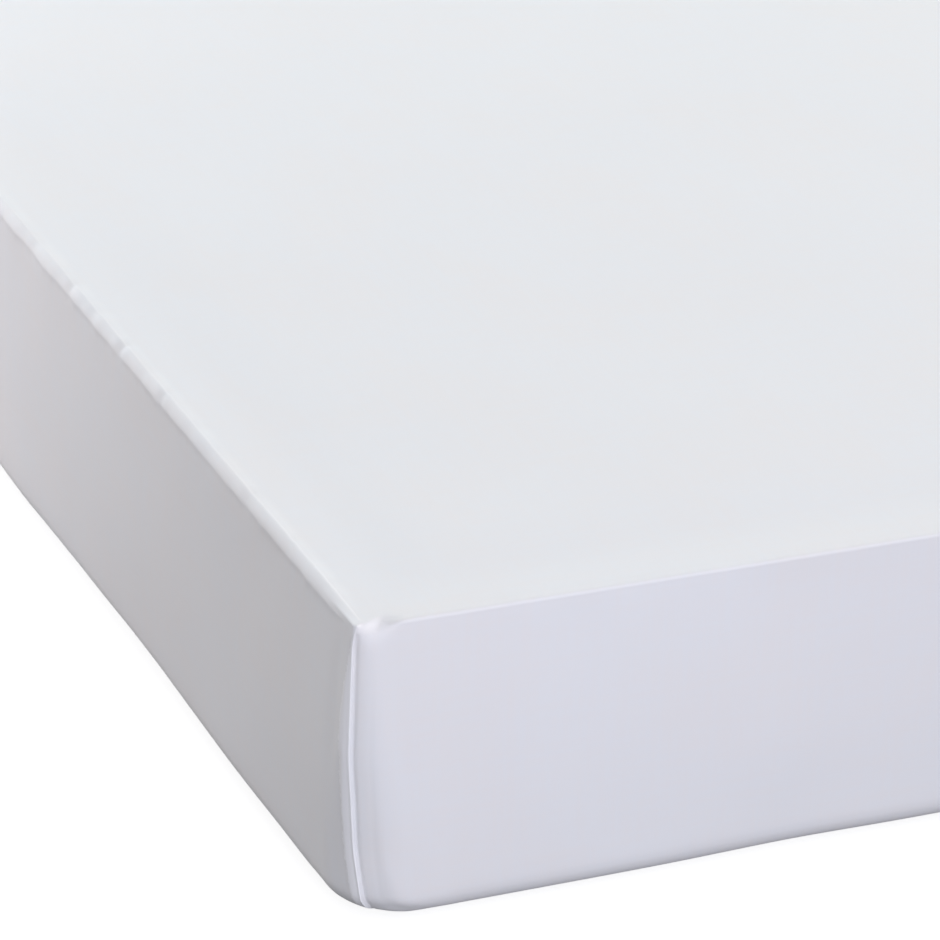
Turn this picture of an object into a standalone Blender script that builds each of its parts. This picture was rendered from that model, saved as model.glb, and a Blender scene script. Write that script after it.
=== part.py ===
"""A fitted waterproof mattress protector on a single mattress.

The protector is one cloth: a rectangle with a square cut out of each corner. Its four
flaps fold down over the mattress and are sewn together at the corners, and its elastic
hem is turned under the mattress. The mattress inside it is a plain foam block.

Metres, +Z up. The origin is on the floor, under the middle of the mattress.
X runs across the mattress and Y along it.
"""

import math
from bisect import bisect_left
from collections import namedtuple

import bmesh
import bpy

# The mattress that the protector is cut for.
MATTRESS_WIDTH = 0.900
MATTRESS_LENGTH = 1.900
MATTRESS_HEIGHT = 0.200

# The cloth, and how close it lies to the mattress.
CLOTH = 0.0015
GAP = 0.0003
LAYER = CLOTH + GAP

# The made-up cover, measured over the outside of its cloth.
HALF_WIDTH = MATTRESS_WIDTH / 2 + LAYER
HALF_LENGTH = MATTRESS_LENGTH / 2 + LAYER
TOP = MATTRESS_HEIGHT + LAYER
EDGE_RADIUS = 0.006
FOOT_RADIUS = 0.020

# The border that the elastic pulls under the mattress, and its folded hem.
TURN_UNDER = 0.085
HEM_DEPTH = 0.015
HEM_HEIGHT = 0.0044
HEM_CORNER_RADIUS = 0.150

# How much rounder the mattress is than the cloth, which stands clear of its edges.
EDGE_EXTRA = 0.003
FOOT_EXTRA = 0.003
CORNER_EXTRA = 0.007
HEM_RECESS = 0.0050

# The soft form that mattress and cloth share.
CROWN = 0.006
EDGE_DIP = 0.0015
EDGE_DIP_FROM_EDGE = 0.042
EDGE_DIP_WIDTH = 0.026
WALL_BULGE = 0.003
WAVE_HEIGHT = 0.0012
WAVE_LENGTHS = (0.61, 0.37)

# The corner seam: a folded edge, with the seam allowance under the cloth beside it.
SEAM_RIDGE = 0.0014
SEAM_RIDGE_WIDTH = 0.0022
ALLOWANCE_RISE = 0.0012
ALLOWANCE_WIDTH = 0.0080
ALLOWANCE_SLOPE = 0.0022
PEAK_RISE = 0.0020
PEAK_REACH = 0.014

# The grid lines of each piece. Those in from the walls are shared, so that both pieces
# bend alike, and the cloth has two more beside its seams.
ALLOWANCE_LINE = EDGE_RADIUS + ALLOWANCE_WIDTH + ALLOWANCE_SLOPE
LINES_FROM_WALL = (ALLOWANCE_LINE, 0.026, 0.046, 0.081, 0.136)
LINES_FROM_SEAM = (SEAM_RIDGE_WIDTH, ALLOWANCE_WIDTH)
MIDDLE_STEP = 0.125
# Past this distance from a seam, a grid line hangs straight down the wall.
STRAIGHT_FROM = 0.35

# How round the vertical corner is, from the foot up to the top edge. Its seam stands
# nearer to the long wall, so each short wall (end) curves further round to meet it.
Radii = namedtuple("Radii", "end side")
CORNER_ROWS = (
    (0.0, Radii(end=0.045, side=0.056)),
    (0.020, Radii(end=0.042, side=0.049)),
    (0.050, Radii(end=0.040, side=0.038)),
    (0.085, Radii(end=0.034, side=0.023)),
    (0.115, Radii(end=0.029, side=0.014)),
    (0.150, Radii(end=0.023, side=0.010)),
    (0.185, Radii(end=0.012, side=0.007)),
    (TOP, Radii(end=0.005, side=0.004)),
)
WALL_HEIGHTS = (0.172, 0.144, 0.114, 0.084, 0.056)

# One ring of the cover: how far in from the outermost wall, how high and how round.
Section = namedtuple("Section", "inset height radii")


def clear_scene():
    for obj in list(bpy.data.objects):
        bpy.data.objects.remove(obj, do_unlink=True)


def smooth(share):
    """A soft step from 0 to 1."""
    share = min(max(share, 0.0), 1.0)
    return share * share * (3 - 2 * share)


def between(first, second, share):
    """Radii that lie that share of the way from the first to the second."""
    share = min(max(share, 0.0), 1.0)
    return Radii(*(low + (high - low) * share for low, high in zip(first, second)))


def widened(radii, extra):
    return Radii(radii.end + extra, radii.side + extra)


def corner_radii(height):
    """The radii at that height, read between the rows of CORNER_ROWS."""
    heights = [row_height for row_height, radii in CORNER_ROWS]
    upper = min(max(bisect_left(heights, height), 1), len(heights) - 1)
    low, high = CORNER_ROWS[upper - 1], CORNER_ROWS[upper]
    return between(low[1], high[1], (height - low[0]) / (high[0] - low[0]))


def arc(inset, height, radius, start, end, steps, corner):
    """Sections round an arc with that centre. Angle 0 points outwards and 90 up."""
    for step in range(steps + 1):
        angle = math.radians(start + (end - start) * step / steps)
        level = height + radius * math.sin(angle)
        yield Section(inset - radius * math.cos(angle), level, corner(level))


def wall_sections(layer, edge_radius, foot_radius, corner):
    """From the rim of the top panel, over the edge, down the wall and round the foot."""
    rim, heel = layer + edge_radius, layer + foot_radius
    yield from arc(rim, TOP - rim, edge_radius, 90, 0, 4, corner)
    for height in WALL_HEIGHTS:
        yield Section(layer, height, corner(height))
    yield from arc(heel, heel, foot_radius, 0, -90, 4, corner)


def cover_sections():
    """The wall, the border turned under it, and the hem folded back over the elastic."""
    border = (FOOT_RADIUS + TURN_UNDER) / 2
    hem_start = TURN_UNDER - HEM_DEPTH
    hem_corner = Radii(HEM_CORNER_RADIUS, HEM_CORNER_RADIUS)
    start_corner = widened(hem_corner, -HEM_DEPTH / 2)
    turn = HEM_HEIGHT / 2
    return [
        *wall_sections(0.0, EDGE_RADIUS, FOOT_RADIUS, corner_radii),
        Section(border, 0.0, between(corner_radii(0.0), hem_corner, 0.5)),
        Section(hem_start, 0.0, start_corner),
        *arc(TURN_UNDER, turn, -turn, 90, -90, 4, lambda height: hem_corner),
        Section(hem_start, HEM_HEIGHT, start_corner),
    ]


def mattress_sections():
    """The wall inside the cloth, and a base with a shallow recess over the hem."""

    def corner(height):
        return widened(corner_radii(height), CORNER_EXTRA)

    bends = EDGE_RADIUS + EDGE_EXTRA, FOOT_RADIUS + FOOT_EXTRA
    hem_corner = Radii(HEM_CORNER_RADIUS, HEM_CORNER_RADIUS)
    border_corner = between(corner(0.0), hem_corner, 0.5)
    return [
        *wall_sections(LAYER, *bends, corner),
        Section(TURN_UNDER - 2.4 * HEM_DEPTH, LAYER, border_corner),
        Section(TURN_UNDER - 1.7 * HEM_DEPTH, HEM_RECESS, hem_corner),
        Section(TURN_UNDER + 0.7 * HEM_DEPTH, HEM_RECESS, hem_corner),
        Section(TURN_UNDER + 1.7 * HEM_DEPTH, 0.0, hem_corner),
    ]


def flap_lengths(sections):
    """How far each section lies down the flat flap, from the rim of the top panel."""
    lengths = [0.0]
    for above, below in zip(sections, sections[1:]):
        step = math.hypot(below.inset - above.inset, below.height - above.height)
        lengths.append(lengths[-1] + step)
    return lengths


def cut_lines(wall, panel, seam_lines, lengths):
    """Grid lines over one flap, the top panel and the other flap, from end to end."""
    inner = wall - LINES_FROM_WALL[-1]
    steps = round(2 * inner / MIDDLE_STEP)
    middle = [-inner + 2 * inner * step / steps for step in range(steps + 1)]
    outer = [wall - distance for distance in reversed(LINES_FROM_WALL[:-1])]
    outer += [panel - distance for distance in reversed(seam_lines)]
    outer += [panel + length for length in lengths]
    return [*(-x for x in reversed(outer)), *middle, *outer]


def flat_cut(panel, seam_lines, lengths):
    """The cloth laid flat: a grid whose four corner squares are cut away."""
    across = cut_lines(HALF_WIDTH, panel[0], seam_lines, lengths)
    along = cut_lines(HALF_LENGTH, panel[1], seam_lines, lengths)
    columns, rows = len(across) - 1, len(along) - 1
    mesh = bmesh.new()
    bmesh.ops.create_grid(mesh, x_segments=columns, y_segments=rows, size=1.0)
    for vert in mesh.verts:
        column = round((vert.co.x + 1) / 2 * columns)
        row = round((vert.co.y + 1) / 2 * rows)
        vert.co = across[column], along[row], 0.0
    squares = [
        vert
        for vert in mesh.verts
        if abs(vert.co.x) > panel[0] + 1e-6 and abs(vert.co.y) > panel[1] + 1e-6
    ]
    bmesh.ops.delete(mesh, geom=squares, context="VERTS")
    return mesh


def round_corner(from_seam, slack, radius, other_radius):
    """How far a point lies in from its wall and along from the corner, and its turn.

    slack is how much longer the flat cloth is than the wall that it goes round, and
    other_radius is that of the wall past the seam. The turn is the angle of the surface
    from its own wall, up to 45 degrees at the seam.
    """
    eighth = math.pi / 4
    seam_along = other_radius * (1 - math.cos(eighth))
    taken_up = slack + seam_along - radius * (eighth - math.sin(eighth))
    walked = from_seam - taken_up * smooth(from_seam / STRAIGHT_FROM)
    turn = max(eighth - walked / radius, 0.0) if radius > 1e-5 else 0.0
    along = seam_along + max(walked - eighth * radius, 0.0)
    along += radius * (math.sin(eighth) - math.sin(turn))
    return radius * (1 - math.cos(turn)), along, turn


def panel_height(x, y):
    """The crown of the top panel, with a shallow dip inside its edge."""
    crown = CROWN * (1 - (x / HALF_WIDTH) ** 2) * (1 - (y / HALF_LENGTH) ** 2)
    from_edge = min(HALF_WIDTH - x, HALF_LENGTH - y)
    dip = (from_edge - EDGE_DIP_FROM_EDGE) / EDGE_DIP_WIDTH
    return crown - EDGE_DIP * math.exp(-dip * dip)


def wall_bulge(run, height, from_seam):
    """How far the wall stands out: a bulge at mid height, with long slow waves."""
    first, second = (math.sin(2 * math.pi * run / length) for length in WAVE_LENGTHS)
    waves = WAVE_HEIGHT * (first + second / 2) * smooth(from_seam / STRAIGHT_FROM)
    share = math.sin(math.pi * min(max(height / TOP, 0.0), 1.0))
    return share * (WALL_BULGE + waves)


def seam_relief(from_seam, height, on_long_side):
    """How far the seam's folded edge and its allowance lift the cloth of the wall."""
    relief = SEAM_RIDGE * (1 - smooth(from_seam / SEAM_RIDGE_WIDTH))
    if on_long_side:
        beyond = (from_seam - ALLOWANCE_WIDTH) / ALLOWANCE_SLOPE
        relief = max(relief, ALLOWANCE_RISE * (1 - smooth(beyond)))
    return relief * smooth(height / FOOT_RADIUS)


def fold(x, y, panel, sections, lengths, sewn):
    """Where a point of the flat cloth lies once the cover is sewn and pulled on."""
    beyond_x, beyond_y = abs(x) - panel[0], abs(y) - panel[1]
    on_long_side = beyond_x > beyond_y
    down, other = max(beyond_x, beyond_y), min(beyond_x, beyond_y)
    rim = sections[0]
    if down > 1e-6:
        inset, height, radii = sections[bisect_left(lengths, down - 1e-6)]
        from_seam, slack = -other, inset - rim.inset
    else:
        inset, height = rim.inset - down, rim.height
        radii = Radii(*(max(radius + down, 0.0) for radius in rim.radii))
        from_seam, slack = down - other, 0.0
    own, across = (radii.side, radii.end) if on_long_side else (radii.end, radii.side)
    inwards, along, turn = round_corner(from_seam, slack, own, across)
    if on_long_side:
        far_x, far_y = HALF_WIDTH - inset - inwards, HALF_LENGTH - inset - along
        run, outwards = math.copysign(far_y, y), (math.cos(turn), math.sin(turn))
    else:
        far_x, far_y = HALF_WIDTH - inset - along, HALF_LENGTH - inset - inwards
        run, outwards = math.copysign(far_x, x), (math.sin(turn), math.cos(turn))
    out = 0.0
    if down > 1e-6:
        out = wall_bulge(run, height, from_seam)
    else:
        height += panel_height(far_x, far_y)
    if sewn:
        if down > 1e-6:
            out += seam_relief(from_seam, height, on_long_side)
        from_apex = math.hypot(beyond_x, beyond_y)
        height += PEAK_RISE * (1 - smooth(from_apex / PEAK_REACH))
    far_x, far_y = far_x + out * outwards[0], far_y + out * outwards[1]
    return math.copysign(far_x, x), math.copysign(far_y, y), height


def make_cover(sections, seam_lines, sewn):
    """The flat cut, folded over the mattress and closed along its corner seams."""
    lengths = flap_lengths(sections)
    rim = sections[0].inset
    panel = HALF_WIDTH - rim, HALF_LENGTH - rim
    mesh = flat_cut(panel, seam_lines, lengths)
    for vert in mesh.verts:
        vert.co = fold(vert.co.x, vert.co.y, panel, sections, lengths, sewn)
    bmesh.ops.remove_doubles(mesh, verts=mesh.verts, dist=1e-5)
    return mesh


def make_material(name, colour, roughness):
    material = bpy.data.materials.new(name)
    material.use_nodes = True
    principled = material.node_tree.nodes["Principled BSDF"]
    principled.inputs["Base Color"].default_value = (*colour, 1.0)
    principled.inputs["Roughness"].default_value = roughness
    return material


def add_piece(name, mesh, collection, material):
    data = bpy.data.meshes.new(name)
    mesh.to_mesh(data)
    mesh.free()
    data.polygons.foreach_set("use_smooth", [True] * len(data.polygons))
    data.set_sharp_from_angle(angle=math.radians(40))
    data.materials.append(material)
    piece = bpy.data.objects.new(name, data)
    collection.objects.link(piece)
    return piece


def build():
    clear_scene()
    collection = bpy.data.collections.new("mattress_protector")
    bpy.context.scene.collection.children.link(collection)

    cover = make_cover(cover_sections(), LINES_FROM_SEAM, sewn=True)
    white_cloth = make_material("white_cloth", (0.84, 0.84, 0.86), 0.8)
    protector = add_piece("protector", cover, collection, white_cloth)
    thickness = protector.modifiers.new("thickness", "SOLIDIFY")
    thickness.thickness = CLOTH
    thickness.offset = -1.0
    thickness.use_even_offset = True
    thickness.use_quality_normals = True

    block = make_cover(mattress_sections(), (), sewn=False)
    open_edges = [edge for edge in block.edges if edge.is_boundary]
    bmesh.ops.holes_fill(block, edges=open_edges, sides=0)
    bmesh.ops.recalc_face_normals(block, faces=block.faces)
    ticking = make_material("ticking", (0.72, 0.71, 0.68), 0.85)
    add_piece("mattress", block, collection, ticking)


build()
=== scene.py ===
import math

import bmesh
import bpy
from mathutils import Matrix, Vector, noise


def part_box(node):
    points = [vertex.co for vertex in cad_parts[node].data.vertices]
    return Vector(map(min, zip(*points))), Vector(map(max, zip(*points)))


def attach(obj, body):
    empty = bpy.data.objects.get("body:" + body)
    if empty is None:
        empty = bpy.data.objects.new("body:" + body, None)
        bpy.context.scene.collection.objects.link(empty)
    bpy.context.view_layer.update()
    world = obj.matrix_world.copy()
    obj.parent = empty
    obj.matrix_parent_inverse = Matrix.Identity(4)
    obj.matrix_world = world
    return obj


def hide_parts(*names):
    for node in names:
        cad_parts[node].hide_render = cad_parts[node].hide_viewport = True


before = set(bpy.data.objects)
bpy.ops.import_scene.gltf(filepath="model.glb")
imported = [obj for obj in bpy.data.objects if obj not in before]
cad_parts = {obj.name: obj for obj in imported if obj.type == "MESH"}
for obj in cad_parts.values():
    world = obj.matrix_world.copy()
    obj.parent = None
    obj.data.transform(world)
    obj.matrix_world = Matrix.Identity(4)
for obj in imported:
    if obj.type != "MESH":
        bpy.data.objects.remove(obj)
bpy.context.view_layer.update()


# --- The protector -------------------------------------------------------------------
# One cut of soft white cloth with a thin film on its back. Each corner is closed by an
# upright seam, and the elastic in its folded hem draws the border under the mattress.

cloth = 0.0015
edge_round = 0.006
foot_round = 0.020
turn_under = 0.085
hem_depth = 0.015
hem_height = 0.0044
crown = 0.0059
fullness = 0.00416

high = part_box("protector")[1]
wall_x, wall_y = high.x - fullness, high.y - fullness
top = high.z - crown
quarter, eighth = math.pi / 2, math.pi / 4
diagonal = 1 - math.cos(eighth)
edge_run = edge_round * quarter
foot_run = foot_round * quarter
wall_run = top - edge_round - foot_round
foot_end = edge_run + wall_run + foot_run


def smooth(share):
    """A soft step from 0 to 1."""
    share = min(max(share, 0.0), 1.0)
    return share * share * (3 - 2 * share)


def ramp(value, start, end):
    """0 before start, 1 after end and a soft step between."""
    return smooth((value - start) / (end - start))


def hump(distance, width):
    """A soft bump of height 1 at distance 0."""
    return math.exp(-((distance / width) ** 2))


# How round the upright corner is at each height. The seam stands at the sharp end of the
# long wall, and the short wall curves round to meet it.
corner_rows = [
    {"height": 0.000, "end": 0.031, "side": 0.053},
    {"height": 0.020, "end": 0.035, "side": 0.045},
    {"height": 0.050, "end": 0.040, "side": 0.032},
    {"height": 0.085, "end": 0.034, "side": 0.022},
    {"height": 0.115, "end": 0.029, "side": 0.012},
    {"height": 0.150, "end": 0.023, "side": 0.008},
    {"height": 0.185, "end": 0.018, "side": 0.004},
    {"height": 0.195, "end": 0.012, "side": 0.003},
    {"height": 0.202, "end": 0.004, "side": 0.003},
]
hem_corner = 0.150


def corner_round(height, inset, wall):
    """The corner's radius towards that wall, which opens out to the hem's underneath."""
    upper = next((n for n, row in enumerate(corner_rows) if row["height"] > height), 0)
    upper = upper or len(corner_rows) - 1
    below, above = corner_rows[upper - 1], corner_rows[upper]
    share = (height - below["height"]) / (above["height"] - below["height"])
    radius = below[wall] + (above[wall] - below[wall]) * min(max(share, 0.0), 1.0)
    if height < foot_round and inset > foot_round:
        share = smooth((inset - foot_round) / (turn_under - foot_round))
        radius += (hem_corner - radius) * share
    return radius


def profile(down, layer, edge, foot, under):
    """Inset, height and tilt of the cover, that far down a flap from the top's rim.

    A tilt of 90 degrees faces up, 0 faces outwards and -90 faces down.
    """
    wall = top - 2 * layer - edge - foot
    if down < 0:
        return layer + edge - down, top - layer, quarter
    if down < edge * quarter:
        tilt = quarter - down / edge
        rim = layer + edge
        return rim - edge * math.cos(tilt), top - rim + edge * math.sin(tilt), tilt
    down -= edge * quarter
    if down < wall:
        return layer, top - layer - edge - down, 0.0
    down -= wall
    heel = layer + foot
    if down < foot * quarter:
        tilt = -down / foot
        return heel - foot * math.cos(tilt), heel + foot * math.sin(tilt), tilt
    down -= foot * quarter
    if down < under - heel:
        return heel + down, layer, -quarter
    down -= under - heel
    fold = hem_height / 2
    if down < 2 * quarter * fold:
        tilt = -quarter - down / fold
        return under - fold * math.cos(tilt), fold + fold * math.sin(tilt), tilt
    return under - (down - 2 * quarter * fold), hem_height, -3 * quarter


# Where the elastic draws the foot of a wall in, or lets it out: how far each place lies
# from the near corner, how wide it is and how deep. It fades out up the wall.
side_draws = [
    {"from_corner": 0.042, "width": 0.020, "depth": 0.0013},
    {"from_corner": 0.085, "width": 0.080, "depth": 0.0016},
    {"from_corner": 0.345, "width": 0.105, "depth": 0.0022},
    {"from_corner": 0.600, "width": 0.070, "depth": -0.0020},
    {"from_corner": 0.930, "width": 0.110, "depth": 0.0018},
    {"from_corner": 1.340, "width": 0.120, "depth": 0.0020},
    {"from_corner": 1.680, "width": 0.090, "depth": -0.0012},
]
end_draws = [
    {"from_corner": 0.295, "width": 0.070, "depth": 0.0028},
    {"from_corner": 0.415, "width": 0.055, "depth": 0.0012},
    {"from_corner": 0.680, "width": 0.090, "depth": 0.0018},
]
draws_height = 0.09
draws_from_seam = 0.04


def drawn_in(x, y, height, from_seam, on_side):
    """How far the elastic draws that place in. Opposite walls mirror each other endways."""
    half, place = (wall_y, y) if on_side else (wall_x, x)
    run = half - math.copysign(place, x * y)
    rows = side_draws if on_side else end_draws
    depth = sum(row["depth"] * hump(run - row["from_corner"], row["width"]) for row in rows)
    return depth * (1 - smooth(height / draws_height)) * smooth(from_seam / draws_from_seam)


# Next to the tip of a corner the short wall's edge is rounder: by how much, how soon it
# grows to that from the seam, where it starts to fade again and over how long.
tip_rounding = 0.0080
tip_growth = 0.012
tip_fade_start = 0.006
tip_fade = 0.022


def rounder_edge(down, edge, from_seam):
    """The short wall's edge radius there, and the shift that keeps the wall in place."""
    extra = smooth(from_seam / tip_growth) * (1 - smooth((from_seam - tip_fade_start) / tip_fade))
    extra *= tip_rounding
    taken = (2 - quarter) * smooth((down + extra) / ((edge + extra) * quarter))
    return edge + extra, extra * (1 - taken)


# A corner's slack is taken up over slack_reach. The top dips a little inside its edge,
# and the walls bulge, with soft waves that die out towards the seams.
slack_reach = 0.42
dip_depth, dip_from_edge, dip_width = 0.0015, 0.042, 0.026
bulge_depth = 0.003
wave_depth, long_wave, short_wave, waves_from_seam = 0.0012, 0.61, 0.37, 0.35


def lie(x, y, layer, edge, foot, softer=0.0, under=turn_under):
    """Where a point of the flat cut lies on the mattress, and where it is on the cover.

    layer is how far in from the cloth's outside this surface is, and softer is how much
    rounder its corners are. Returns the place, the way it faces, and its measures.
    """
    past_x = abs(x) - (wall_x - layer - edge)
    past_y = abs(y) - (wall_y - layer - edge)
    on_side = past_x > past_y
    down, other = max(past_x, past_y), min(past_x, past_y)
    from_seam = -other if down > 0 else down - other
    rounder, shift = (edge, 0.0) if on_side else rounder_edge(down, edge, from_seam)
    inset, height, tilt = profile(down + shift, layer, rounder, foot, under)
    own, across = ("side", "end") if on_side else ("end", "side")
    own = max(corner_round(height, inset, own) + softer + min(down, 0.0), 1e-5)
    across = max(corner_round(height, inset, across) + softer + min(down, 0.0), 1e-5)
    slack = inset - layer - edge + min(down, 0.0)
    taken_up = slack + diagonal * across - (eighth - math.sin(eighth)) * own
    walked = from_seam - taken_up * smooth(from_seam / slack_reach)
    turn = max(eighth - walked / own, 0.0)
    inwards = own * (1 - math.cos(turn))
    along = diagonal * across + own * (math.sin(eighth) - math.sin(turn))
    along += max(walked - eighth * own, 0.0)
    if on_side:
        place = Vector((wall_x - inset - inwards, wall_y - inset - along, height))
        facing = Vector((math.cos(turn), math.sin(turn), 0.0))
    else:
        place = Vector((wall_x - inset - along, wall_y - inset - inwards, height))
        facing = Vector((math.sin(turn), math.cos(turn), 0.0))
    place -= facing * drawn_in(x, y, height, from_seam, on_side)
    facing = facing * math.cos(tilt) + Vector((0.0, 0.0, math.sin(tilt)))
    if down <= 0:
        from_edge = min(wall_x - place.x, wall_y - place.y)
        place.z += crown * (1 - (place.x / wall_x) ** 2) * (1 - (place.y / wall_y) ** 2)
        place.z -= dip_depth * hump(from_edge - dip_from_edge, dip_width)
    else:
        run = math.copysign(place.y, y) if on_side else math.copysign(place.x, x)
        waves = math.sin(math.tau * run / long_wave) + math.sin(math.tau * run / short_wave) / 2
        waves *= wave_depth * smooth(from_seam / waves_from_seam)
        bulge = math.sin(math.pi * min(max(height / top, 0.0), 1.0)) * (bulge_depth + waves)
        place += facing * (bulge * math.cos(tilt) ** 2)
    for vector in (place, facing):
        vector.x, vector.y = math.copysign(vector.x, x), math.copysign(vector.y, y)
        if abs(vector.x) < 1e-9:
            vector.x = 0.0
    return place, facing, down, from_seam, height, on_side


def ripple(x, y, z, length):
    """Smooth seeded unevenness from -1 to 1, in lumps of about that length."""
    return noise.noise(Vector((x, y, z)) / length)


# The rim of a long wall is a soft welt that ends in a low ledge. The film holds the
# cloth in small puckers there: how far each lies from the near corner, how wide it is
# and how deep. The rim of a short wall is only a little uneven.
puckers = [
    {"from_corner": 0.105, "width": 0.0035, "depth": 0.00084},
    {"from_corner": 0.171, "width": 0.0050, "depth": 0.00070},
    {"from_corner": 0.318, "width": 0.0040, "depth": 0.00154},
    {"from_corner": 0.352, "width": 0.0060, "depth": 0.00084},
    {"from_corner": 0.394, "width": 0.0045, "depth": 0.00168},
    {"from_corner": 0.447, "width": 0.0060, "depth": 0.00084},
    {"from_corner": 0.492, "width": 0.0050, "depth": 0.00182},
    {"from_corner": 0.563, "width": 0.0070, "depth": 0.00098},
    {"from_corner": 0.688, "width": 0.0050, "depth": 0.00126},
    {"from_corner": 0.842, "width": 0.0060, "depth": 0.00112},
]
pucker_lean, pucker_fall = 0.5, 0.006
rim_middle, rim_width = 0.004, 0.008
rim_lump, rim_crease, crease_share = 0.026, 0.011, 0.6
side_uneven, end_uneven = 0.0008, 0.0003
side_rim_from_seam, end_rim_from_seam = 0.03, 0.05
welt_height, welt_width = 0.0007, 0.0045
ledge_height, ledge_start, ledge_full = 0.0005, -0.002, 0.004
ledge_end, ledge_step = 0.0098, 0.0016
long_wander, short_wander = (0.0012, 0.018), (0.0007, 0.007)


def rim_relief(x, y, down, from_seam, on_side):
    """The rounded rim of the top: a soft welt on the long walls, uneven and puckered."""
    run = y if on_side else x
    near_rim = hump(down - rim_middle, rim_width)
    uneven = ripple(run, 0.3, x > 0, rim_lump)
    uneven += crease_share * ripple(run, 0.9, y > 0, rim_crease)
    if not on_side:
        return end_uneven * uneven * near_rim * smooth(from_seam / end_rim_from_seam)
    out = welt_height * hump(down, welt_width) + side_uneven * uneven * near_rim
    end = ledge_end
    for seed, (depth, length) in ((1.7, long_wander), (2.3, short_wander)):
        end += depth * ripple(run, seed, x > 0, length)
    ledge = ledge_height * ramp(down, ledge_start, ledge_full)
    out += ledge * smooth((end - down) / ledge_step)
    for pucker in puckers:
        off = wall_y - edge_round - abs(y) - pucker["from_corner"]
        off += pucker_lean * (down - rim_middle)
        depth = pucker["depth"] * hump(off, pucker["width"])
        out -= depth * hump(down - rim_middle, pucker_fall)
    return out * smooth(from_seam / side_rim_from_seam)


# The upright seam's folded edge stands out by seam_lift, and by more further down. On the
# long wall the seam allowance lies behind it, to a ragged end. On the short wall there is
# a narrow valley in front of it, and a hollow that a soft fold ends, out at the foot.
seam_lift, seam_lift_gain = 0.0005, 0.0003
seam_front, seam_drop = 1.1, 0.0008
valley_depth, valley_middle, valley_width = 0.0007, 0.0018, 0.0014
hollow_depth, hollow_width = 0.0021, 0.0135
fold_out, fold_up, fold_bend, fold_tightest = 0.0115, 0.002, 0.00022, 0.004
allowance_width, allowance_gain, allowance_ragged = 0.0018, 0.0046, 0.0020
allowance_end, allowance_tail, allowance_slope = 0.0012, 0.1, 0.0075
short_tears, long_tears = 0.0045, 0.011
bead_height, bead_width = 0.0004, 0.0009
side_hollow, side_hollow_middle, side_hollow_width = 0.0008, 0.0160, 0.0070

# Where each of these starts and where it is full, by its height,
seam_foot = 0.003, 0.017
hollow_foot = 0.001, 0.011
valley_heights = 0.020, 0.060
lift_heights = 0.030, 0.080
# by its distance down the flap, or down the seam from the end of the top's edge,
seam_top = 0.005, 0.013
lift_growth = 0.0, 0.090
hollow_growth = 0.0, 0.080
allowance_growth = 0.006, 0.056
side_hollow_growth = 0.0, 0.030
# by its distance from the seam, and by how far it is inside the fold.
hollow_start = 0.0, 0.0014
hollow_fade = 0.030, 0.070
side_hollow_start = 0.0, 0.010
hollow_lip = -0.001, 0.002


def short_wall_seam(along, from_seam, height, lift):
    """How far the short wall's end of the seam stands out, and the hollow next to it."""
    drop = 1 - smooth(from_seam / seam_drop)
    valley = valley_depth * hump(from_seam - valley_middle, valley_width)
    valley *= smooth(from_seam / seam_drop) * (1 + ramp(height, *valley_heights)) / 2
    # The fold is a hyperbola, and inside is the distance from it on the seam's side.
    out, up = max(from_seam - fold_out, 0.0), max(height - fold_up, 0.0)
    inside = (fold_bend - out * up) / max(math.hypot(out, up), fold_tightest)
    hollow = hollow_depth * min(max(inside / hollow_width, 0.0), 1.0)
    hollow *= ramp(inside, *hollow_lip) * ramp(height, *hollow_foot)
    hollow *= ramp(along, *hollow_growth)
    hollow *= ramp(from_seam, *hollow_start) * (1 - ramp(from_seam, *hollow_fade))
    return (seam_front * lift + bead_height) * drop - valley, hollow


def long_wall_seam(x, y, along, from_seam, height, lift):
    """How far the long wall's end of the seam stands out, with the allowance behind it."""
    ragged = ripple(x, y, height, short_tears) + ripple(x, y, height, long_tears)
    width = allowance_width + allowance_gain * ramp(along, *allowance_growth)
    width += allowance_ragged * ragged
    out = lift * (1 - smooth((from_seam - width) / allowance_end + 0.5))
    out += allowance_tail * lift * max(1 - from_seam / allowance_slope, 0.0)
    out += bead_height * hump(from_seam, bead_width)
    hollow = side_hollow * hump(from_seam - side_hollow_middle, side_hollow_width)
    hollow *= ramp(from_seam, *side_hollow_start) * ramp(along, *side_hollow_growth)
    return out - hollow


def seam_relief(x, y, down, from_seam, height, on_side):
    """The upright seam: a folded edge with the allowance behind it and a valley in front."""
    along = down - edge_run
    upright = ramp(down, *seam_top) * ramp(height, *seam_foot)
    lift = seam_lift + seam_lift_gain * ramp(along, *lift_growth) * ramp(height, *lift_heights)
    if on_side:
        return upright * long_wall_seam(x, y, along, from_seam, height, lift)
    standing, hollow = short_wall_seam(along, from_seam, height, lift)
    return upright * standing - hollow


def tightened(turned, radius, wanted):
    """How far an arc of that radius stands out once it is bent to the wanted one."""
    across, up = math.sin(turned), math.cos(turned)
    shift = radius - wanted
    reach = shift * (across + up)
    reach += math.sqrt(max(wanted**2 - shift**2 * (across - up) ** 2, 0.0))
    if reach * min(across, up) < shift:
        reach = radius / max(across, up)
    return reach - radius


# Both walls meet in a sharp tip. The short walls' edge is crisp again past the rounder
# part, and their foot is bent a little tighter than the long walls'.
tip_radius, crisp_gain, crisp_reach = 0.0005, 0.0015, 0.02
side_tip, end_tip = 0.030, 0.0012
crisp_from, crisp_over = 0.016, 0.012
tight_foot, tight_foot_reach = 0.0175, 0.03


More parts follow.
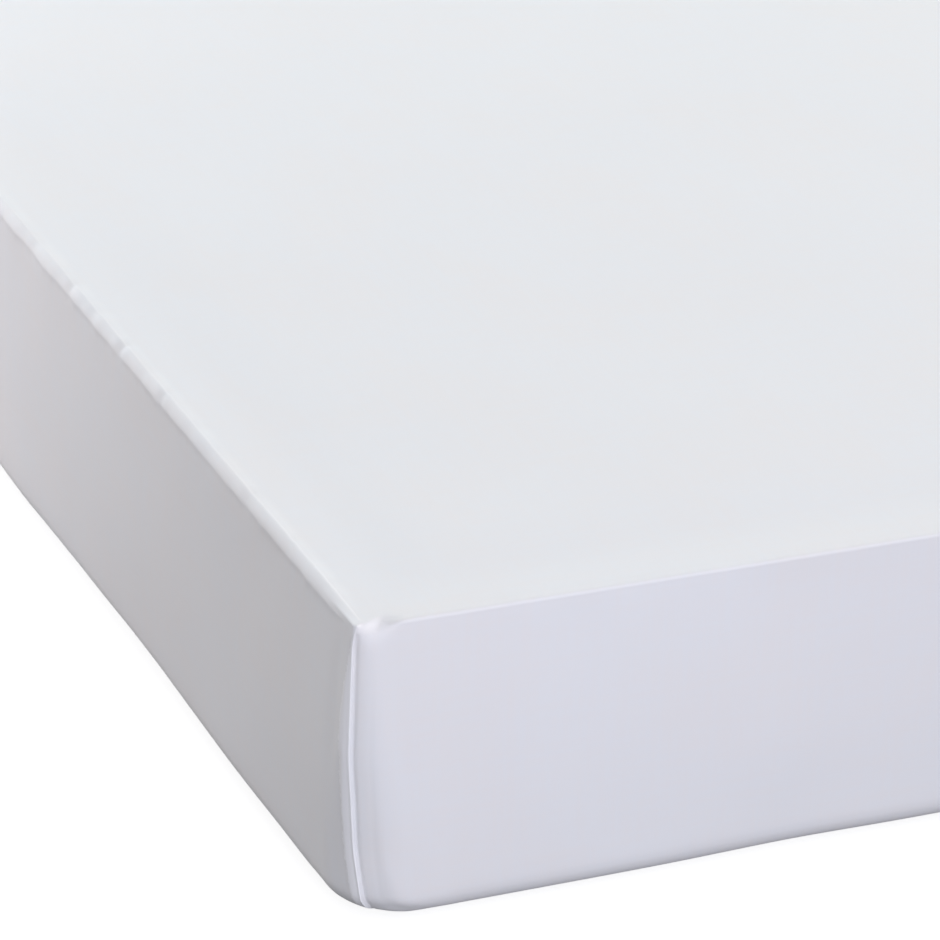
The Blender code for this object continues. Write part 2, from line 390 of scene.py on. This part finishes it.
def edge_relief(down, from_seam, on_side):
    """The top's edge: a sharp tip at each corner and a crisp edge on the short walls."""
    turned = min(max(down / edge_round, 0.0), quarter)
    if on_side:
        return tightened(turned, edge_round, tip_radius) * hump(from_seam, side_tip)
    wanted = tip_radius + crisp_gain * smooth(from_seam / crisp_reach)
    kept = max(hump(from_seam, end_tip), smooth((from_seam - crisp_from) / crisp_over))
    return tightened(turned, edge_round, wanted) * kept


def foot_relief(down, from_seam, on_side):
    """The short wall's foot, which is bent a little tighter than the long wall's."""
    turned = (down - edge_run - wall_run) / foot_round
    if on_side or not 0 < turned < quarter:
        return 0.0
    return tightened(turned, foot_round, tight_foot) * smooth(from_seam / tight_foot_reach)


# Tight cloth is never quite flat: it has short lumps on the walls and wide ones on top.
wall_lumps = [
    {"depth": 0.0007, "length": 0.045, "rise": 0.35, "seed": 4},
    {"depth": 0.0004, "length": 0.024, "rise": 0.20, "seed": 9},
]
top_lump_depth, top_lump_length, top_lump_seed, top_lumps_from_rim = 0.0012, 0.17, 2.0, 0.06
lumps_down, lumps_height, lumps_from_seam = 0.02, 0.03, 0.012
rim_zone_start, rim_zone_end = -0.03, 0.04


def relief(x, y, down, from_seam, height, on_side):
    """How far the cloth stands out from the plain form of the mattress."""
    out = 0.0
    if rim_zone_start < down < rim_zone_end:
        out += edge_relief(down, from_seam, on_side)
    if down > rim_zone_start:
        out += rim_relief(x, y, down, from_seam, on_side)
    if 0 < down < foot_end:
        out += seam_relief(x, y, down, from_seam, height, on_side)
        out += foot_relief(down, from_seam, on_side)
    run = y if on_side else x
    loose = smooth(down / lumps_down) * smooth(height / lumps_height)
    loose *= smooth(from_seam / lumps_from_seam)
    for lump in wall_lumps:
        up, seed = height * lump["rise"], lump["seed"] + on_side
        out += lump["depth"] * loose * ripple(run, up, seed, lump["length"])
    on_top = smooth(-down / top_lumps_from_rim)
    return out + top_lump_depth * on_top * ripple(x, y, top_lump_seed, top_lump_length)


# The grid lines of the flat cut: in from each seam, and down each flap. Seams are closed
# by joining the places that lie nearer than weld.
weld = 2e-5
from_seams = (0.0, 0.0016, 0.0032, 0.0056, 0.009, 0.014, 0.022, 0.034, 0.050, 0.072, 0.102)
middle_step = 0.030
border_run = turn_under - foot_round
fold_run = hem_height * quarter


def flap_rows(runs):
    """The rows of a grid down a flap, from the length and the steps of each run of it."""
    rows = [0.0]
    for run, steps in runs:
        start = rows[-1]
        rows += [start + run * (n + 1) / steps for n in range(steps)]
    return rows


flap_runs = [(edge_run, 2), (wall_run, 8), (foot_run, 3), (border_run, 3), (fold_run, 2)]
flap_lines = flap_rows([*flap_runs, (hem_depth, 1)])


def cut_lines(panel, seam_lines, flap):
    inner = panel - seam_lines[-1]
    steps = round(2 * inner / middle_step)
    outer = [panel - line for line in reversed(seam_lines[:-1])] + [panel + d for d in flap[1:]]
    middle = [-inner + 2 * inner * n / steps for n in range(steps + 1)]
    return [*(-line for line in reversed(outer)), *middle, *outer]


def flat_cut(panel_x, panel_y, seam_lines, flap):
    """A flat grid with a flap on each side of the top panel and no corner squares."""
    across = cut_lines(panel_x, seam_lines, flap)
    along = cut_lines(panel_y, seam_lines, flap)
    mesh = bmesh.new()
    columns, rows = len(across) - 1, len(along) - 1
    bmesh.ops.create_grid(mesh, x_segments=columns, y_segments=rows, size=1.0)
    for vert in mesh.verts:
        column, row = (vert.co.x + 1) / 2 * columns, (vert.co.y + 1) / 2 * rows
        vert.co = across[round(column)], along[round(row)], 0.0
    squares = [
        vert
        for vert in mesh.verts
        if abs(vert.co.x) > panel_x + 1e-6 and abs(vert.co.y) > panel_y + 1e-6
    ]
    bmesh.ops.delete(mesh, geom=squares, context="VERTS")
    return mesh


panel_x, panel_y = wall_x - edge_round, wall_y - edge_round
cut = flat_cut(panel_x, panel_y, from_seams, flap_lines)

# The back of the cloth is a copy one step down, joined to the front at the hem's end.
flap_end = flap_lines[-1]
hem_ends = []
for edge in cut.edges:
    middle = (edge.verts[0].co + edge.verts[1].co) / 2
    down = max(abs(middle.x) - panel_x, abs(middle.y) - panel_y)
    if edge.is_boundary and down > flap_end - 1e-6:
        hem_ends.append(edge)
copy = bmesh.ops.duplicate(cut, geom=cut.verts[:] + cut.edges[:] + cut.faces[:])
back, back_of = copy["geom"], copy["vert_map"]
for part in back:
    if isinstance(part, bmesh.types.BMVert):
        part.co.z = -1.0
back_faces = [part for part in back if isinstance(part, bmesh.types.BMFace)]
bmesh.ops.reverse_faces(cut, faces=back_faces)
for edge in hem_ends:
    loop = edge.link_loops[0]
    first, second = loop.vert, loop.link_loop_next.vert
    cut.faces.new((second, first, back_of[first], back_of[second]))


ends_reach = 0.03


def halve(wanted, lengthways=False, ends_only=False):
    """Split the front's edges whose middle is wanted, by its place on the cover.

    ends_only leaves the long walls alone, but for ends_reach next to each seam.
    """
    picked = []
    for edge in cut.edges:
        ends = edge.verts[0].co, edge.verts[1].co
        middle, run = (ends[0] + ends[1]) / 2, ends[1] - ends[0]
        if middle.z < 0:
            continue
        past_x, past_y = abs(middle.x) - panel_x, abs(middle.y) - panel_y
        down, other = max(past_x, past_y), min(past_x, past_y)
        if lengthways and (past_x > past_y) != (abs(run.y) > abs(run.x)):
            continue
        if ends_only and past_x > past_y and other < -ends_reach:
            continue
        if wanted(down, down - other if down < 0 else -other):
            picked.append(edge)
    bmesh.ops.subdivide_edges(cut, edges=picked, cuts=1, use_grid_fill=True)


# Finer rows follow the rim, the seams and, finest of all, the bend of the short walls' edge.
panel_start, fold_end = -0.16, flap_lines[-2] - 0.001
rim_start, rim_end, past_seam = -0.010, 0.020, 0.02
near_seam, at_seam, seam_start = 0.06, 0.0032, 0.002
bend_margin = 0.0012
halve(lambda down, from_seam: panel_start < down < fold_end)
halve(
    lambda down, from_seam: rim_start < down < rim_end
    or (0 < down < foot_end and from_seam < near_seam)
)
halve(
    lambda down, from_seam: rim_start < down < rim_end and from_seam > past_seam,
    lengthways=True,
)
halve(lambda down, from_seam: bend_margin < down < edge_run - bend_margin, ends_only=True)
halve(
    lambda down, from_seam: seam_start < down < foot_end and from_seam < at_seam,
    lengthways=True,
)

pattern = cut.loops.layers.uv.new("flat_cut")
for face in cut.faces:
    for loop in face.loops:
        loop[pattern].uv = loop.vert.co.x, loop.vert.co.y

for vert in cut.verts:
    x, y, z = vert.co
    place, facing, *measures = lie(x, y, 0.0, edge_round, foot_round)
    vert.co = place + facing * (relief(x, y, *measures) - (cloth if z < 0 else 0.0))
bmesh.ops.remove_doubles(cut, verts=cut.verts, dist=weld)


def smooth_object(name, cut):
    """An object with that mesh, shaded smooth. It uses the mesh up."""
    mesh = bpy.data.meshes.new(name)
    cut.to_mesh(mesh)
    cut.free()
    mesh.polygons.foreach_set("use_smooth", [True] * len(mesh.polygons))
    made = bpy.data.objects.new(name, mesh)
    bpy.context.scene.collection.objects.link(made)
    return made


protector = smooth_object("protector_cloth", cut)


class Socket:
    """A shader value that sums can be written with."""

    def __init__(self, tree, link):
        self.tree, self.link = tree, link

    def node(self, kind, settings=None, inputs=None, output=0):
        """Add a node of that type, with its settings first and then its sockets."""
        made = self.tree.nodes.new(kind)
        for name, value in (settings or {}).items():
            setattr(made, name, value)
        for name, value in (inputs or {}).items():
            if isinstance(value, Socket):
                self.tree.links.new(value.link, made.inputs[name])
            else:
                made.inputs[name].default_value = value
        return Socket(self.tree, made.outputs[output])

    def math(self, operation, *values):
        return self.node("ShaderNodeMath", {"operation": operation}, dict(enumerate(values)))

    def __add__(self, other):
        return self.math("ADD", self, other)

    def __sub__(self, other):
        return self.math("SUBTRACT", self, other)

    def __rsub__(self, other):
        return self.math("SUBTRACT", other, self)

    def __mul__(self, other):
        return self.math("MULTIPLY", self, other)

    __radd__, __rmul__ = __add__, __mul__

    def ramp(self, low_end, high_end):
        """0 below low_end, 1 above high_end and a soft step between."""
        settings = {"interpolation_type": "SMOOTHSTEP"}
        return self.node("ShaderNodeMapRange", settings, {0: self, 1: low_end, 2: high_end})


def new_material(name, **constants):
    """A material with those constants on its shader, and a socket to start its sums from."""
    made = bpy.data.materials.new(name)
    made.use_nodes = True
    shader = made.node_tree.nodes["Principled BSDF"]
    for socket, value in constants.items():
        shader.inputs[socket.replace("_", " ")].default_value = value
    return made, Socket(made.node_tree, None)


def look_of(start, colour, bump_strength, height):
    """Give the shader its colour and its bump, which is 0.4 mm high at full height."""
    inputs = {"Strength": bump_strength, "Distance": 0.0004, "Height": height}
    bump = start.node("ShaderNodeBump", inputs=inputs)
    shader = start.tree.nodes["Principled BSDF"]
    start.tree.links.new(colour.link, shader.inputs["Base Color"])
    start.tree.links.new(bump.link, shader.inputs["Normal"])


def split_up(place):
    """The X and Y of a vector, as two sockets."""
    first = place.node("ShaderNodeSeparateXYZ", inputs={0: place})
    return first, Socket(first.tree, first.link.node.outputs["Y"])


def stretched(place, per_metre_x, per_metre_y, **inputs):
    """Noise over the cloth, with that many lumps to the metre each way, from 0 to 1."""
    scale = (per_metre_x, per_metre_y, 1.0)
    scaled = place.node("ShaderNodeVectorMath", {"operation": "MULTIPLY"}, {0: place, 1: scale})
    settings = {"noise_dimensions": "2D", "normalize": True}
    return place.node("ShaderNodeTexNoise", settings, {"Vector": scaled, "Scale": 1.0, **inputs})


def mixed(share, first, second):
    inputs = {"Factor": share, 6: first, 7: second}
    return share.node("ShaderNodeMix", {"data_type": "RGBA"}, inputs, output=2)


cloth_white = (0.80, 0.805, 0.825, 1.0)
cloth_warm = (0.810, 0.797, 0.803, 1.0)
# Painted highlight colour, for the seam's edge and the allowance strip behind it.
highlight_white = (0.90, 0.90, 0.92, 1.0)

white_cloth, start = new_material(
    "white_cloth", Roughness=0.82, Specular_IOR_Level=0.25, Sheen_Weight=0.12, Sheen_Roughness=0.5
)
place = start.node("ShaderNodeUVMap", {"uv_map": "flat_cut"})
width, length = split_up(place)
across = width.math("ABSOLUTE", width) - panel_x
along = length.math("ABSOLUTE", length) - panel_y
down = across.math("MAXIMUM", across, along)
from_seam = -1.0 * across.math("MINIMUM", across, along)
on_side = across.math("GREATER_THAN", across, along)

# The white is uneven in soft blotches, and in slubs along both sets of threads.
blotches = stretched(place, 9.0, 7.0, Detail=3.0, Roughness=0.6).ramp(0.40, 0.64)
slubs = stretched(place, 14.0, 210.0, Detail=2.0) + stretched(place, 210.0, 14.0, Detail=2.0)
colour = mixed(blotches * 0.5 + slubs.ramp(0.8, 1.2) * 0.4, cloth_white, cloth_warm)

# The seam's folded edge and the ragged allowance behind it are painted whiter: a painted
# highlight for the light they catch.
seam_end = 1.0 - down.ramp(0.196, 0.214)
seam_edge_highlight = 1.0 - (from_seam - on_side * 0.0005).ramp(0.0001, 0.0007)
colour = mixed(seam_edge_highlight * down.ramp(0.010, 0.016) * seam_end, colour, highlight_white)
# The allowance strip gets a ragged painted highlight, a little weaker than the seam edge's.
frayed = stretched(place, 420.0, 420.0, Detail=3.0, Roughness=0.7) - 0.5
widening = 0.0014 + down.ramp(0.014, 0.066) * 0.0048 + frayed * 0.0045
allowance_highlight = (1.0 - (from_seam - widening).ramp(-0.0002, 0.0006)) * on_side
allowance_highlight = allowance_highlight * down.ramp(0.014, 0.022) * seam_end
colour = mixed(allowance_highlight * 0.75, colour, highlight_white)

threads_per_metre = 1.0 / 0.0011
wave_x = width.math("SINE", width * (math.tau * threads_per_metre))
wave_y = length.math("SINE", length * (math.tau * threads_per_metre))
grain = stretched(place, 900.0, 900.0, Detail=2.0)
look_of(start, colour, 0.35, wave_x * wave_y * 0.02 + grain * 0.10 + slubs * 0.25)
protector.data.materials.append(white_cloth)

flat_width = 2 * (panel_x + flap_end)
flat_length = 2 * (panel_y + flap_end)
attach(protector, "root")
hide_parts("protector")
flat_width * flat_length - 4 * flap_end**2


# --- The mattress --------------------------------------------------------------------
# A plain foam block in pale ticking. It fills the protector, and only its underside
# shows, inside the turned-under hem.

block_layer = cloth + 0.0003
block_edge = 0.013
block_foot = 0.026
block_softer = 0.012
block_under, block_spare = 0.112, 0.001
block_seams = (0.0, 0.008, 0.018, 0.034, 0.055, 0.080, 0.110, 0.145)

block_flat = block_under - block_layer - block_foot
block_runs = [
    (block_edge * quarter, 6),
    (top - 2 * block_layer - block_edge - block_foot, 14),
    (block_foot * quarter, 6),
    (block_flat, 12),
]
block_lines = flap_rows(block_runs)

# The underside is a little hollow over the hem, and comes down to the floor inside it.
hem_room = 0.0034
hollow_from, hollow_over = 0.046, 0.014
flat_from, flat_over = 0.092, 0.016


def hem_recess(down):
    """How far the underside stands up from the border's level, over the hem."""
    inset = block_under - (block_lines[-1] - down)
    raised = hem_room * smooth((inset - hollow_from) / hollow_over)
    return raised - (raised + block_layer) * smooth((inset - flat_from) / flat_over)


inset = block_layer + block_edge
block = flat_cut(wall_x - inset, wall_y - inset, block_seams, block_lines)
shape = {"layer": block_layer, "edge": block_edge, "foot": block_foot, "softer": block_softer}
for vert in block.verts:
    x, y, z = vert.co
    place, facing, down, *measures = lie(x, y, **shape, under=block_under + block_spare)
    if down > block_lines[-1] - block_flat:
        place.z += hem_recess(down)
    vert.co = place
bmesh.ops.remove_doubles(block, verts=block.verts, dist=weld)
open_edges = [edge for edge in block.edges if edge.is_boundary]
bmesh.ops.holes_fill(block, edges=open_edges, sides=0)
bmesh.ops.recalc_face_normals(block, faces=block.faces)
mattress = smooth_object("mattress_block", block)
mattress.data.set_sharp_from_angle(angle=math.radians(40))

ticking, start = new_material("ticking", Roughness=0.88, Specular_IOR_Level=0.2)
place = start.node("ShaderNodeTexCoord", output="Object")
width, length = split_up(place)
cords = width.math("SINE", width * (math.tau / 0.0030))
twill = width.math("SINE", (width + length) * (math.tau / 0.0018))
mottle = place.node("ShaderNodeTexNoise", inputs={"Vector": place, "Scale": 60.0, "Detail": 4.0})
tone = (cords * 0.5 + mottle).ramp(0.2, 1.2)
colour = mixed(tone, (0.66, 0.645, 0.60, 1.0), (0.76, 0.75, 0.71, 1.0))
look_of(start, colour, 0.5, cords * 0.5 + twill * 0.2 + mottle * 0.3)
mattress.data.materials.append(ticking)

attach(mattress, "root")
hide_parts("mattress")


# --- The studio ----------------------------------------------------------------------
# A white floor under soft lights: a large one in front, on the right and behind, and a
# small one far on the left, in a pale room. The floor gives no bounce light, so that the
# lower edges of the cloth stay darker.

bpy.ops.object.select_all(action="DESELECT")
bpy.ops.mesh.primitive_plane_add(size=200.0, location=(0.0, 0.0, -0.0002))
floor = bpy.context.object
floor.name = "floor"
floor.visible_diffuse = False
floor.visible_glossy = False
floor_grey = (0.35, 0.35, 0.35, 1.0)
paper, start = new_material(
    "floor_paper",
    Base_Color=floor_grey,
    Roughness=1.0,
    Specular_IOR_Level=0.0,
    Emission_Color=(1.0, 1.0, 1.0, 1.0),
    Emission_Strength=0.82,
)
floor.data.materials.append(paper)

# The room is palest round the horizon, dimmer overhead and dark below the floor.
below, horizon, overhead = 0.10, 0.92, 0.50
room = bpy.data.worlds.new("room")
room.use_nodes = True
bpy.context.scene.world = room
tree = room.node_tree
look = Socket(tree, None).node("ShaderNodeTexCoord")
split = look.node("ShaderNodeSeparateXYZ", inputs={0: look})
height = Socket(tree, split.link.node.outputs["Z"])
glow = height.ramp(-0.02, -0.01) * (horizon - below) + below
glow = glow - height.ramp(0.05, 0.14) * (horizon - overhead)
tree.links.new(glow.link, tree.nodes["Background"].inputs["Color"])


def add_softbox(name, location, target, size, power, colour):
    light = bpy.data.lights.new(name, "AREA")
    light.shape, light.size, light.energy, light.color = "SQUARE", size, power, colour
    holder = bpy.data.objects.new(name, light)
    holder.location = location
    aim = Vector(target) - Vector(location)
    holder.rotation_euler = aim.to_track_quat("-Z", "Y").to_euler()
    bpy.context.scene.collection.objects.link(holder)
    return light


middle, near_end, long_wall = (0.0, 0.0, 0.2), (-0.1, -0.9, 0.1), (-0.45, -0.25, 0.1)
add_softbox("right", (4.5, -0.5, 1.8), middle, 2.0, 118.0, (1.0, 0.97, 0.93))
add_softbox("behind", (0.0, 5.0, 2.5), middle, 2.0, 178.0, (0.83, 0.96, 1.0))
add_softbox("front", (-0.5, -3.6, 0.9), near_end, 1.6, 52.0, (0.85, 0.86, 1.0))
far_left = add_softbox("far_left", (-1.35, 0.9, 0.25), long_wall, 0.65, 5.7, (1.0, 0.96, 1.0))
far_left.spread = math.radians(100)

# The camera stands off the near corner and looks down on it from the front.
near_corner = Vector((-wall_x, -wall_y, 0.0))
stand_off = Vector((-4.797, -11.402, 7.502)) * top
heading, pitch, roll = math.radians(24.205), math.radians(25.866), math.radians(2.532)
camera_data = bpy.data.cameras.new("camera")
camera_data.lens = 191.5
camera_data.sensor_width = 36.0
camera_data.clip_end = 100.0
camera = bpy.data.objects.new("camera", camera_data)
camera.location = near_corner + stand_off
turn = Matrix.Rotation(-heading, 3, "Z") @ Matrix.Rotation(quarter - pitch, 3, "X")
camera.rotation_euler = (turn @ Matrix.Rotation(roll, 3, "Z")).to_euler()
bpy.context.scene.collection.objects.link(camera)
bpy.context.scene.camera = camera
bpy.context.scene.view_settings.view_transform = "Standard"
